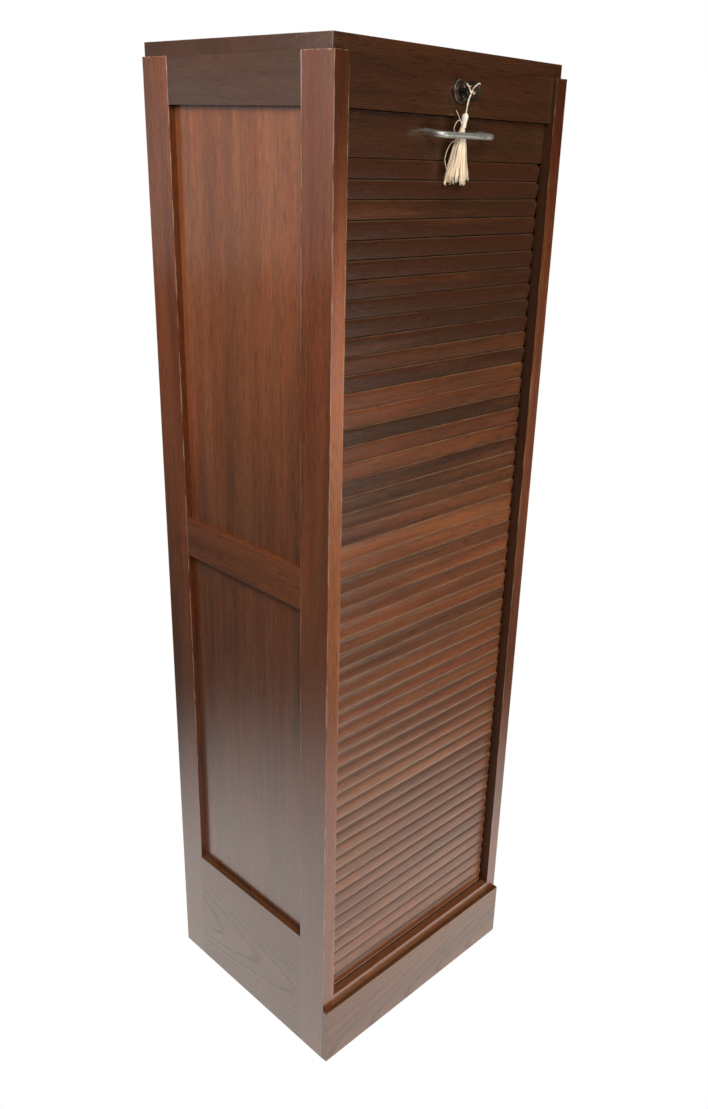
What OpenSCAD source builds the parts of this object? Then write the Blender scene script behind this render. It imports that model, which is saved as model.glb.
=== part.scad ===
// Tall oak filing cabinet closed by a slatted tambour shutter.
// Two framed and panelled sides carry a top board, a lock rail, a sill and a framed back. The shutter is a
// leading board with a bow handle, pulled down in front of a curtain of slats glued to canvas. Its track
// runs down the front, under the floor and up behind the inner back.
// X runs across the front, -Y is the front, +Z is up. The origin is on the floor under the middle of the
// box that holds the cabinet. Side pieces are drawn on the right, where X is positive, and mirrored.

/* [Case] */
// Width across the outer faces of the side frames
case_w = 466; // [440:1:520]
// Depth from the front edge to the rear edge of the stiles
case_d = 405; // [395:1:440]
// Height of the side frames, without the top board
case_h = 1600; // [1590:1:1625]
// Thickness of the side frames
frame_t = 24; // [24:1:26]
// Width of each stile, seen from the side
stile_w = 60; // [56:1:64]
// Height of the top rails of the sides
top_rail_h = 62; // [60:1:66]
// Height of the middle rails of the sides
middle_rail_h = 65; // [50:1:80]
// Height of the bottom rails of the sides
bottom_rail_h = 235; // [180:1:260]
// Thickness of the top board
top_board_t = 19; // [16:1:22]
// How far the top board stays inside the outer faces of the sides
top_board_inset = 4.5; // [2:0.5:8]
// How far the top board stays behind the front edges of the stiles
top_board_setback = 8; // [4:0.5:12]
// Height of the plinth board
plinth_h = 110; // [110:1:112]
// How far the plinth board stands in front of the stiles
plinth_proud = 9; // [6:0.5:12]
// Thickness of the sill
sill_t = 20; // [18:1:22]

/* [Joinery] */
// Thickness of the side and back panels
panel_t = 6; // [5:0.5:7]
// How far the side panels lie behind the outer face of their frame
panel_recess = 10; // [9:0.5:11]
// Depth of the panel grooves
panel_groove = 10; // [8:0.5:12]
// Length of the rail tenons
tenon_l = 40; // [30:1:45]
// Thickness of the tenons
tenon_t = 7; // [6:0.5:8]

/* [Shutter] */
// Height from the middle of one slat to the middle of the next
slat_pitch = 25; // [25:0.05:25.2]
// Dark gap left between neighbouring slats
slat_gap = 0.8; // [0.4:0.1:1.2]
// Thickness of a slat at its crown
slat_t = 9.5; // [9:0.1:9.8]
// How much higher the crown of a slat is than its edges
slat_crown = 1.6; // [1.2:0.1:2.6]
// How far the slats and the leading board lie behind the stiles' front edges
shutter_recess = 15; // [14.5:0.1:15.5]
// Height of the leading board
leading_h = 55; // [54:0.5:55.5]
// Thickness of the leading board
leading_t = 20; // [19:0.5:21]
// Radius of the track's bends at the middle of the tongues
bend_r = 60; // [58:1:62]

/* [Handle and lock] */
// Distance between the handle's two feet
handle_span = 112; // [100:1:130]
// Diameter of the handle's rod
handle_rod_d = 8; // [7:0.2:9]
// How far the middle of the rod stands in front of the leading board
handle_reach = 28.5; // [26:0.5:29]
// Angle by which the handle droops towards its front bar
handle_droop = 7; // [4:0.5:8]
// Height of the lock's axis
lock_z = 1569; // [1567:1:1571]
// Outer diameter of the turned escutcheon
escutcheon_d = 32; // [28:1:36]
// Outer diameter of the key's ring
key_ring_d = 26; // [24:1:28]
// How far the lock bolt comes out
bolt_throw = 9; // [7:0.5:10]

/* [Inside] */
// Thickness of the shelves
shelf_t = 16; // [14:1:18]

/* [Hidden] */

$fn = 64;
over = 1;                       // how far a cut runs past a face
oak = "#6b4632";
dark_oak = "#4a3024";
pale_oak = "#a58a70";
steel = "#8d8b86";

// Driving planes across the cabinet
side_x = case_w / 2;
inner_x = side_x - frame_t;
key_reach = 30;                 // how far the key's ring stands in front of the stiles
front = -(case_d - key_reach) / 2;
rear = front + case_d;

// Side frames
opening_h = (case_h - top_rail_h - middle_rail_h - bottom_rail_h) / 2;
lower_opening_z = bottom_rail_h;
upper_opening_z = case_h - top_rail_h - opening_h;
panel_x = side_x - panel_recess - panel_t;
tenon_cover = 8;                // wood left outside each tenon
tenon_x = side_x - tenon_cover - tenon_t;
tenon_shoulder = 15;            // wood left above and below each tenon
rail_l = case_d - 2 * stile_w;

// Track of the shutter: a front run, a bend, a floor run, a bend and a back run
slat_front = front + shutter_recess;
tongue_t = 5;
tongue_l = 8;
track_w = tongue_t + 1.6;
track_depth = tongue_l + 1;
tongue_y = slat_front + slat_t - tongue_t;
track_y = tongue_y + tongue_t / 2;
slat_n = 55;
slats_per_node = slat_n / 5;
lock_rail_h = 62;
lock_rail_z = case_h - lock_rail_h;
leading_top = lock_rail_z - 1;
slat_top = leading_top - leading_h - 0.5;
slat_bottom = slat_top - slat_n * slat_pitch;
bend_y = track_y + bend_r;
back_run_y = rear - 37;
back_run_top = 1500;
canvas_t = 0.8;
canvas_x = inner_x - 8;         // half the width of the canvas
tongue_h = 18;
crown_x = inner_x - 4;          // where the full thickness of a slat ends

// The curtain's tail, which waits in the front bend of the track
tail_n = 3;
tail_r = bend_y - slat_front - slat_t;
tail_step = slat_pitch / tail_r * 180 / PI;
tail_canvas_r = tail_r - 0.6;

// Inside
base_rail_t = 12;
floor_z = plinth_h + sill_t;
floor_t = 18;
inside_y = front + 40;
inner_back_t = 6;
inner_back_y = rear - 53;
inner_back_groove = 4;
shelf_n = 5;
cleat_gap = 10;                 // between a top cleat and the rear stile
batten_w = 14;
batten_h = 20;
shelf_step = (lock_rail_z - floor_z) / (shelf_n + 1);

// Framed back
back_frame_y = rear - 21;
back_frame_t = 18;
back_tenon_l = 10;
back_tenon_t = 8;
back_rail_h = 70;
back_bottom_h = plinth_h;
back_opening_h = (case_h - 2 * back_rail_h - back_bottom_h) / 2;
back_lower_z = back_bottom_h;
back_upper_z = case_h - back_rail_h - back_opening_h;
back_panel_groove = 8;

// Leading board
leading_clearance = 0.6;
leading_shoulder = 4;           // wood cut away above and below its tongues
head_r = 4;                     // heads of the handle's screws
head_depth = 4;

// Handle, lock and key
foot_z = leading_top - 19.5;
foot_depth = 3;                 // how deep the feet sit in the leading board
foot_x = handle_span / 2;
rod_r = handle_rod_d / 2;
rod_bend = 12;
screw_r = 2;
lock_rail_y = front + 6;
lock_rail_t = 18;
lock_tenon_l = 10;
lock_tenon_shoulder = 8;
bit_l = 9;                      // how far the key's bit reaches below its axis
bit_w = 2.2;
case_back_y = lock_rail_y + lock_rail_t;
lock_depth = 14;
lock_half_w = 30;
lock_wall = 1.5;
lock_bottom = leading_top + 1.5;
lock_top = lock_z + 24;
bolt_w = 18;
bolt_t = 5;
bolt_y = case_back_y + 2.5;
bolt_h = 21;
shank_r = 3;
keyhole_r = 3.6;
ring_wire_r = 2.2;
ring_y = front - key_reach + key_ring_d / 2;
keeper_w = 52;
keeper_d = 14;
keeper_t = 1.5;
keeper_screw_x = 19;
lock_screw_x = 25;

// Cord of the tassel: its centre line from the knot under the key's ring down through the tassel's head
// and on inside its skirt, with Y measured from the stiles' front plane
cord_r = 1.2;
cord_route = [
    [-0.6, -16.2, 1569.6], [-1.1, -15.8, 1568], [-1.8, -15.4, 1566], [-3.3, -14.6, 1562.2],
    [-4, -13.4, 1558], [-3.7, -12, 1554], [-2.7, -10.2, 1550], [-1, -8, 1546], [0.4, -6, 1541.5],
    [0.6, -4.6, 1536], [0.5, -3.8, 1531], [0.3, -2.8, 1527], [0, -2, 1521], [-0.2, -1.5, 1515],
    [-0.4, -0.7, 1507.5], [-0.6, 0, 1500]
];
knot_r = 2.6;
// Rings of the tassel from the hem up: half width, half depth, and the centre's X, Y and Z
tassel_rings = [
    [22, 10.5, -1, 3, 1452], [22, 10.5, -1, 3, 1458], [17, 9.5, -1, 2, 1480], [11, 7.5, -0.6, 0, 1500],
    [7, 5.5, -0.2, -1.5, 1515], [3, 3, 0.3, -2.8, 1527], [3.2, 3.2, 0.5, -3.8, 1531],
    [4.2, 4.2, 0.6, -4.6, 1536], [3, 3, 0.7, -5.4, 1541.5]
];

// ---------- shared shapes ----------

// Box given by its lowest corner and its size
module block(corner, size) {
    translate(corner) cube(size);
}

// Box that reaches equally far to both sides of the middle
module wide_block(half, y, z, depth, height) {
    block([-half, y, z], [2 * half, depth, height]);
}

// Mirror image of a right-hand piece
module on_the_left() {
    mirror([1, 0, 0]) children();
}

// One copy on each side
module on_both_sides() {
    children();
    on_the_left() children();
}

// Outline in Y and Z, drawn from x0 over a length along X
module along_x(x0, length) {
    translate([x0, 0, 0]) rotate([90, 0, 90]) linear_extrude(length) children();
}

// Round bar along Y
module bar_y(x, y, z, r, length) {
    translate([x, y, z]) rotate([-90, 0, 0]) cylinder(r = r, h = length);
}

// Countersunk wood screw whose head faces -Y and whose tip points to +Y
module screw_y(x, y, z, r, length) {
    translate([x, y, z]) rotate([-90, 0, 0]) {
        cylinder(r1 = 2 * r, r2 = r, h = 1.2 * r);
        cylinder(r = r, h = length - 2 * r);
        translate([0, 0, length - 2 * r]) cylinder(r1 = r, r2 = 0.3, h = 2 * r);
    }
}

// ---------- track ----------

// Quarter ring round a centre, in the quadrant that its signs name
module quarter_ring(centre, r, width, sign_y) {
    translate(centre) intersection() {
        difference() {
            circle(r + width / 2, $fn = 120);
            circle(r - width / 2, $fn = 120);
        }
        translate([sign_y < 0 ? -2 * r : 0, -2 * r]) square(2 * r);
    }
}

module track_outline() {
    translate([track_y - track_w / 2, slat_bottom])
        square([track_w, leading_top + 3 - slat_bottom]);
    quarter_ring([bend_y, slat_bottom], bend_r, track_w, -1);
    translate([bend_y, slat_bottom - bend_r - track_w / 2])
        square([back_run_y - bend_r - bend_y, track_w]);
    quarter_ring([back_run_y - bend_r, slat_bottom], bend_r, track_w, 1);
    translate([back_run_y - track_w / 2, slat_bottom])
        square([track_w, back_run_top - slat_bottom]);
}

module track() {
    along_x(inner_x - over, track_depth + over) track_outline();
}

// ---------- side frames ----------

// Groove that holds a panel's edge along an upright or a rail
module panel_slot(y, z, depth, height) {
    block([panel_x, y, z], [panel_t, depth, height]);
}

module rail_tenon(z, height) {
    block([tenon_x, front + stile_w - tenon_l, z + tenon_shoulder],
          [tenon_t, rail_l + 2 * tenon_l, height - 2 * tenon_shoulder]);
}

module rail_tenons() {
    rail_tenon(case_h - top_rail_h, top_rail_h);
    rail_tenon(upper_opening_z - middle_rail_h, middle_rail_h);
    rail_tenon(0, bottom_rail_h);
}

module stile_slots(y) {
    for (z = [lower_opening_z, upper_opening_z])
        panel_slot(y, z - panel_groove, panel_groove, opening_h + 2 * panel_groove);
}

module front_stile() {
    color(oak) difference() {
        block([inner_x, front, 0], [frame_t, stile_w, case_h]);
        stile_slots(front + stile_w - panel_groove);
        rail_tenons();
        track();
        lock_rail_tenons();
        batten_screw_shapes();
    }
}

module rear_stile() {
    color(oak) difference() {
        block([inner_x, rear - stile_w, 0], [frame_t, stile_w, case_h]);
        stile_slots(rear - stile_w);
        rail_tenons();
        track();
        inner_back();
        back_tenons();
        back_panel(back_lower_z, back_opening_h);
        back_panel(back_upper_z, back_opening_h);
    }
}

module side_rail(z, height) {
    color(oak) difference() {
        union() {
            block([inner_x, front + stile_w, z], [frame_t, rail_l, height]);
            rail_tenon(z, height);
        }
        for (opening = [lower_opening_z, upper_opening_z])
            panel_slot(front + stile_w, opening - panel_groove, rail_l, opening_h + 2 * panel_groove);
        track();
    }
}

module side_panel(z) {
    color(oak)
        panel_slot(front + stile_w - panel_groove, z - panel_groove,
                   rail_l + 2 * panel_groove, opening_h + 2 * panel_groove);
}

module left_front_stile() { on_the_left() front_stile(); }
module right_front_stile() { front_stile(); }
module left_rear_stile() { on_the_left() rear_stile(); }
module right_rear_stile() { rear_stile(); }
module left_top_rail() { on_the_left() side_rail(case_h - top_rail_h, top_rail_h); }
module right_top_rail() { side_rail(case_h - top_rail_h, top_rail_h); }
module left_middle_rail() { on_the_left() side_rail(upper_opening_z - middle_rail_h, middle_rail_h); }
module right_middle_rail() { side_rail(upper_opening_z - middle_rail_h, middle_rail_h); }
module left_bottom_rail() { on_the_left() side_rail(0, bottom_rail_h); }
module right_bottom_rail() { side_rail(0, bottom_rail_h); }
module left_upper_panel() { on_the_left() side_panel(upper_opening_z); }
module right_upper_panel() { side_panel(upper_opening_z); }
module left_lower_panel() { on_the_left() side_panel(lower_opening_z); }
module right_lower_panel() { side_panel(lower_opening_z); }

// ---------- top, front and base ----------

module top_board() {
    half = side_x - top_board_inset;
    color(dark_oak)
        wide_block(half, front + top_board_setback, case_h, case_d - top_board_setback, top_board_t);
}

module top_cleats() {
    color(oak) on_both_sides()
        block([inner_x - batten_w, front + stile_w, case_h - batten_h],
              [batten_w, rail_l - cleat_gap, batten_h]);
}

module lock_rail_tenons() {
    wide_block(inner_x + lock_tenon_l, lock_rail_y + 3, lock_rail_z + lock_tenon_shoulder,
               tenon_t, lock_rail_h - 2 * lock_tenon_shoulder);
}

// Round hole for the shank with a slot below it for the bit
module keyhole(y, depth) {
    bar_y(0, y, lock_z, keyhole_r, depth);
    wide_block(bit_w / 2 + 0.5, y, lock_z - bit_l - 0.5, depth, bit_l + 0.5);
}

module lock_rail() {
    color(dark_oak) difference() {
        union() {
            wide_block(inner_x, lock_rail_y, lock_rail_z, lock_rail_t, lock_rail_h);
            lock_rail_tenons();
        }
        keyhole(lock_rail_y - over, lock_rail_t + 2 * over);
        lock_screw_shapes();
    }
}

module sill() {
    color(oak) wide_block(inner_x, front, plinth_h, shutter_recess - 1, sill_t);
}

module plinth_board() {
    color(oak) wide_block(side_x, front - plinth_proud, 0, plinth_proud, plinth_h);
}

module front_base_rail() {
    color(pale_oak) wide_block(inner_x, front, 0, base_rail_t, plinth_h);
}

module floor_board() {
    color(pale_oak)
        wide_block(inner_x, inside_y, floor_z - floor_t, inner_back_y - inside_y, floor_t);
}

module floor_battens() {
    color(pale_oak) on_both_sides()
        block([inner_x - batten_w, inside_y, floor_z - floor_t - batten_h],
              [batten_w, inner_back_y - inside_y, batten_h]);
}

// ---------- back ----------

module back_tenon(z, height) {
    wide_block(inner_x + back_tenon_l, back_frame_y + (back_frame_t - back_tenon_t) / 2,
               z + tenon_shoulder, back_tenon_t, height - 2 * tenon_shoulder);
}

module back_tenons() {
    back_tenon(0, back_bottom_h);
    back_tenon(back_upper_z - back_rail_h, back_rail_h);
    back_tenon(case_h - back_rail_h, back_rail_h);
}

module back_rail(z, height) {
    color(oak) difference() {
        union() {
            wide_block(inner_x, back_frame_y, z, back_frame_t, height);
            back_tenon(z, height);
        }
        back_panel(back_lower_z, back_opening_h);
        back_panel(back_upper_z, back_opening_h);
    }
}

module back_panel(z, height) {
    wide_block(inner_x + back_panel_groove, back_frame_y + (back_frame_t - panel_t) / 2,
               z - back_panel_groove, panel_t, height + 2 * back_panel_groove);
}

module back_top_rail() { back_rail(case_h - back_rail_h, back_rail_h); }
module back_middle_rail() { back_rail(back_upper_z - back_rail_h, back_rail_h); }
module back_bottom_rail() { back_rail(0, back_bottom_h); }
module back_upper_panel() { color(oak) back_panel(back_upper_z, back_opening_h); }
module back_lower_panel() { color(oak) back_panel(back_lower_z, back_opening_h); }

module inner_back() {
    wide_block(inner_x + inner_back_groove, inner_back_y, floor_z - floor_t,
               inner_back_t, case_h - floor_z + floor_t);
}

module inner_back_panel() { color(pale_oak) inner_back(); }

// ---------- shelves ----------

function shelf_z(i) = floor_z + i * shelf_step - shelf_t;

module shelf(i) {
    color(pale_oak)
        wide_block(inner_x - 0.5, inside_y, shelf_z(i), inner_back_y - inside_y, shelf_t);
}

module shelf_1() { shelf(1); }
module shelf_2() { shelf(2); }
module shelf_3() { shelf(3); }
module shelf_4() { shelf(4); }
module shelf_5() { shelf(5); }

// Places children, drawn for a batten whose top is at z 0, under every shelf
module at_battens() {
    for (i = [1 : shelf_n]) translate([0, 0, shelf_z(i)]) on_both_sides() children();
}

module batten_screw(y) {
    head_x = inner_x - batten_w;
    translate([head_x, y, -batten_h / 2]) rotate([0, 0, -90]) screw_y(0, 0, 0, screw_r, 26);
}

module shelf_battens() {
    color(pale_oak) difference() {
        at_battens()
            block([inner_x - batten_w, inside_y, -batten_h],
                  [batten_w, inner_back_y - inside_y - over, batten_h]);
        batten_screw_shapes();
    }
}

module batten_screw_shapes() {
    at_battens() batten_screw(front + stile_w - 12);
}

module batten_screws() { color(steel) batten_screw_shapes(); }

// ---------- curtain ----------

// Section of a slat in Y and Z, its crown towards -Y, its middle at Z 0
module slat_outline() {
    half = (slat_pitch - slat_gap) / 2;
    crown_r = (half * half + slat_crown * slat_crown) / (2 * slat_crown);
    intersection() {
        translate([0, -half]) square([slat_t, 2 * half]);
        translate([crown_r, 0]) circle(crown_r, $fn = 200);
    }
}

module slat() {
    along_x(-crown_x, 2 * crown_x) slat_outline();
    wide_block(inner_x + tongue_l, slat_t - tongue_t, -tongue_h / 2, tongue_t, tongue_h);
}

module slat_group(group) {
    for (i = [0 : slats_per_node - 1])
        translate([0, slat_front, slat_top - (group * slats_per_node + i + 0.5) * slat_pitch])
            slat();
}

module top_slats() { color(dark_oak) slat_group(0); }
module upper_slats() { color(oak) slat_group(1); }
module middle_slats() { color(dark_oak) slat_group(2); }
module lower_slats() { color(oak) slat_group(3); }
module bottom_slats() { color(pale_oak) slat_group(4); }

module canvas() {
    color("tan")
        wide_block(canvas_x, slat_front + slat_t, slat_bottom, canvas_t, slat_top - slat_bottom);
}

module tail_slats() {
    color(oak) for (i = [0 : tail_n - 1])
        translate([0, bend_y, slat_bottom]) rotate([(i + 0.5) * tail_step, 0, 0])
            translate([0, -tail_r - slat_t, 0]) slat();
}

module tail_canvas() {
    color("tan") along_x(-canvas_x, 2 * canvas_x)
        translate([bend_y, slat_bottom]) intersection() {
            difference() {
                circle(tail_canvas_r, $fn = 120);
                circle(tail_canvas_r - canvas_t, $fn = 120);
            }
            translate([-2 * tail_r, -2 * tail_r]) square(2 * tail_r);
        }
}

// ---------- leading board ----------

module leading_board() {
    color(dark_oak) difference() {
        union() {
            wide_block(inner_x - leading_clearance, slat_front, leading_top - leading_h,
                       leading_t, leading_h);
            wide_block(inner_x + tongue_l, tongue_y, leading_top - leading_h + leading_shoulder,
                       tongue_t, leading_h - 2 * leading_shoulder);
        }
        for (x = [-foot_x, foot_x]) {
            bar_y(x, slat_front - over, foot_z, screw_r + 0.2, leading_t + 2 * over);
            bar_y(x, slat_front + leading_t - head_depth, foot_z, head_r + 0.6, head_depth + over);
        }
        wide_block(bolt_w / 2 + 1.5, bolt_y - 1, leading_top - bolt_throw - 3,
                   bolt_t + 2, bolt_throw + 3 + over);
        handle_shape();
        keeper_plate_shape();
        keeper_screw_shapes();
    }
}

module keeper_plate_shape() {
    wide_block(keeper_w / 2, bolt_y - 4.5, leading_top - keeper_t, keeper_d, keeper_t);
}

module keeper_plate() {
    color("#b08d4a") difference() {
        keeper_plate_shape();
        wide_block(bolt_w / 2 + 1, bolt_y - 0.8, leading_top - 2 * keeper_t, bolt_t + 1.6, 3 * keeper_t);
        keeper_screw_shapes();
    }
}

module keeper_screw_shapes() {
    for (x = [-keeper_screw_x, keeper_screw_x])
        translate([x, bolt_y + bolt_t / 2, leading_top]) rotate([-90, 0, 0]) screw_y(0, 0, 0, 1.3, 14);
}

module keeper_screws() { color("#b08d4a") keeper_screw_shapes(); }

// ---------- handle ----------

// Right half of the rod, its foot's axis leaving the board along -Y at the origin's height
module handle_half() {
    corner_y = rod_bend - handle_reach;
    bar_y(foot_x, corner_y, 0, rod_r, foot_depth - corner_y);
    translate([foot_x - rod_bend, corner_y, 0]) rotate([0, 0, -90])
        rotate_extrude(angle = 90) translate([rod_bend, 0]) circle(rod_r, $fn = 32);
    translate([0, -handle_reach, 0]) rotate([0, 90, 0]) cylinder(r = rod_r, h = foot_x - rod_bend);
}

module handle_shape() {
    translate([0, slat_front, foot_z]) rotate([handle_droop, 0, 0]) on_both_sides() handle_half();
}

module handle() {
    color("#b9bab4") difference() {
        handle_shape();
        for (x = [-foot_x, foot_x]) bar_y(x, slat_front - 10, foot_z, screw_r + 0.05, 14);
    }
}

module handle_screws() {
    color(steel) for (x = [-foot_x, foot_x]) {
        bar_y(x, slat_front - 9, foot_z, screw_r, leading_t + 6);
        bar_y(x, slat_front + leading_t - head_depth + 0.5, foot_z, head_r, 2.5);
    }
}

// ---------- lock ----------

module escutcheon() {
    rim_r = escutcheon_d / 2;
    color("#3a2a22") difference() {
        translate([0, lock_rail_y, lock_z]) rotate([90, 0, 0]) union() {
            cylinder(r = rim_r, h = 1.6);
            rotate_extrude() difference() {
                union() {
                    translate([rim_r - 2.6, 1.6]) circle(2.6, $fn = 48);
                    translate([rim_r - 7, 1.6]) circle(1.5, $fn = 48);
                }
                translate([0, -10]) square([2 * rim_r, 10]);
            }
        }
        keyhole(lock_rail_y - 8, 10);
    }
}

module lock_screw(x, z) {
    translate([x, case_back_y + lock_depth, z]) rotate([0, 0, 180]) screw_y(0, 0, 0, 1.6, 28);
}

module lock_screw_shapes() {
    for (x = [-lock_screw_x, lock_screw_x], z = [lock_bottom + 6, lock_top - 6]) lock_screw(x, z);
}

module lock_case() {
    color(steel) difference() {
        wide_block(lock_half_w, case_back_y, lock_bottom, lock_depth - lock_wall, lock_top - lock_bottom);
        wide_block(lock_half_w - 10, case_back_y + lock_wall, lock_bottom + lock_wall,
                   lock_depth, lock_top - lock_bottom - 2 * lock_wall);
        wide_block(bolt_w / 2 + 0.5, bolt_y - 0.5, lock_bottom - over, bolt_t + 1, 2 * lock_wall + over);
        keyhole(case_back_y - over, lock_wall + 2 * over);
        lock_screw_shapes();
    }
}

module lock_cap() {
    color(steel) difference() {
        wide_block(lock_half_w, case_back_y + lock_depth - lock_wall, lock_bottom,
                   lock_wall, lock_top - lock_bottom);
        lock_screw_shapes();
    }
}

module lock_screws() {
    color("#5c5a55") lock_screw_shapes();
}

module lock_bolt() {
    color("#b08d4a") wide_block(bolt_w / 2, bolt_y, lock_bottom + 0.5, bolt_t, bolt_h);
}

module key() {
    ring_r = key_ring_d / 2 - ring_wire_r;
    ring_back = ring_y + key_ring_d / 2;
    color("#3d3833") {
        translate([0, ring_y, lock_z]) rotate([0, 90, 0])
            rotate_extrude() translate([ring_r, 0]) circle(ring_wire_r, $fn = 32);
        bar_y(0, ring_back - 2 * ring_wire_r + 1.2, lock_z, shank_r,
              case_back_y + lock_depth - 4 - ring_back + 2 * ring_wire_r - 1.2);
        bar_y(0, ring_back - 0.5, lock_z, shank_r + 1.2, 2.5);
        wide_block(bit_w / 2, case_back_y + 3, lock_z - bit_l, 7, bit_l - 1);
    }
}

// ---------- tassel ----------

// Ring of points round a centre, flattened along Y
function oval(centre, half_x, half_y, sides) = [
    for (k = [0 : sides - 1])
        let (a = 360 * k / sides) centre + [half_x * cos(a), half_y * sin(a), 0]
];

// Solid skin over a stack of rings, listed from the bottom to the top
module skin(rings) {
    sides = len(rings[0]);
    last = len(rings) - 1;
    points = [for (ring = rings) each ring];
    walls = [
        for (j = [0 : last - 1], k = [0 : sides - 1])
            let (next = (k + 1) % sides)
                [j * sides + k, (j + 1) * sides + k, (j + 1) * sides + next, j * sides + next]
    ];
    bottom = [for (k = [0 : sides - 1]) k];
    top = [for (k = [sides - 1 : -1 : 0]) last * sides + k];
    polyhedron(points, concat(walls, [bottom, top]));
}

// Round tube along a list of points
module tube(route, r, sides) {
    last = len(route) - 1;
    skin([
        for (i = [0 : last])
            let (
                ahead = route[min(i + 1, last)] - route[max(i - 1, 0)],
                along = ahead / norm(ahead),
                across = cross(along, [0, 1, 0]),
                u = across / norm(across),
                w = cross(u, along)
            )
            [for (k = [0 : sides - 1]) route[i] + r * (cos(360 * k / sides) * u + sin(360 * k / sides) * w)]
    ]);
}

module tassel_cord() {
    color("#e8dcc0") tube([for (p = cord_route) p + [0, front, 0]], cord_r, 8);
}

// Knot that ties the cord to its two strands round the key's ring
module tassel_knot() {
    color("#e8dcc0") translate(cord_route[1] + [0, front, 0]) sphere(knot_r, $fn = 24);
}

module tassel() {
    color("#efe3c4")
        skin([for (t = tassel_rings) oval([t[2], front + t[3], t[4]], t[0], t[1], 20)]);
}

left_front_stile();
right_front_stile();
left_rear_stile();
right_rear_stile();
left_top_rail();
right_top_rail();
left_middle_rail();
right_middle_rail();
left_bottom_rail();
right_bottom_rail();
left_upper_panel();
right_upper_panel();
left_lower_panel();
right_lower_panel();
top_board();
top_cleats();
lock_rail();
sill();
plinth_board();
front_base_rail();
floor_board();
floor_battens();
back_top_rail();
back_middle_rail();
back_bottom_rail();
back_upper_panel();
back_lower_panel();
inner_back_panel();
shelf_1();
shelf_2();
shelf_3();
shelf_4();
shelf_5();
shelf_battens();
batten_screws();
canvas();
tail_canvas();
top_slats();
upper_slats();
middle_slats();
lower_slats();
bottom_slats();
tail_slats();
leading_board();
handle();
handle_screws();
keeper_plate();
keeper_screws();
escutcheon();
lock_case();
lock_cap();
lock_screws();
lock_bolt();
key();
tassel_knot();
tassel_cord();
tassel();
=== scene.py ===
import math
import random

import bpy
from mathutils import Matrix, Quaternion, Vector


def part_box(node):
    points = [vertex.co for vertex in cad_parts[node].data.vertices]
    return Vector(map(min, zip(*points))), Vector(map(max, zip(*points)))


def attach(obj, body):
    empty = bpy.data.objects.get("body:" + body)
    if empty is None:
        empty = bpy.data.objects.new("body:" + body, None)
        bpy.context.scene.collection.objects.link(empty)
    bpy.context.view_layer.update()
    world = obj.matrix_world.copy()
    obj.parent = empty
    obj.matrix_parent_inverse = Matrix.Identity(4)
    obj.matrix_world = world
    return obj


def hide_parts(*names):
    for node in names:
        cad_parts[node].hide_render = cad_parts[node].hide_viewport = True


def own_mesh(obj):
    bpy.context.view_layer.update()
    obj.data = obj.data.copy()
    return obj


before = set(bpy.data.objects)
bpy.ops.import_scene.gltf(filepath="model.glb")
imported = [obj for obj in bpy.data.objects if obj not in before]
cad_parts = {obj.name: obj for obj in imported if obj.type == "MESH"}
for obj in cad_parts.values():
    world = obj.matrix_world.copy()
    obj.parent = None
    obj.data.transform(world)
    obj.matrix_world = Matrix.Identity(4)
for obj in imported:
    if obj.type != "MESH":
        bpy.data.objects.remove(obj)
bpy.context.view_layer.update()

MM = 0.001
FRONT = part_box("left_front_stile")[0].y


# ---------- camera ----------

def make_camera():
    """The view of the left side and the front, from a little below the cabinet's top."""
    azimuth, elevation, roll = (math.radians(a) for a in (-47.32, 22.01, 2.576))
    across = math.cos(elevation)
    back = Vector((math.sin(azimuth) * across, -math.cos(azimuth) * across, math.sin(elevation)))
    camera = bpy.data.objects.new("camera", bpy.data.cameras.new("camera"))
    camera.location = (-1.1102, -1.1502, 1.4942)
    camera.rotation_mode = "QUATERNION"
    camera.rotation_quaternion = (-back).to_track_quat("-Z", "Y") @ Quaternion((0, 0, 1), roll)
    camera.data.lens = 32.4
    camera.data.sensor_width = 36
    camera.data.shift_x = -0.0497
    camera.data.shift_y = -0.0013
    bpy.context.scene.collection.objects.link(camera)
    bpy.context.scene.camera = camera


make_camera()


# ---------- node trees ----------

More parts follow.
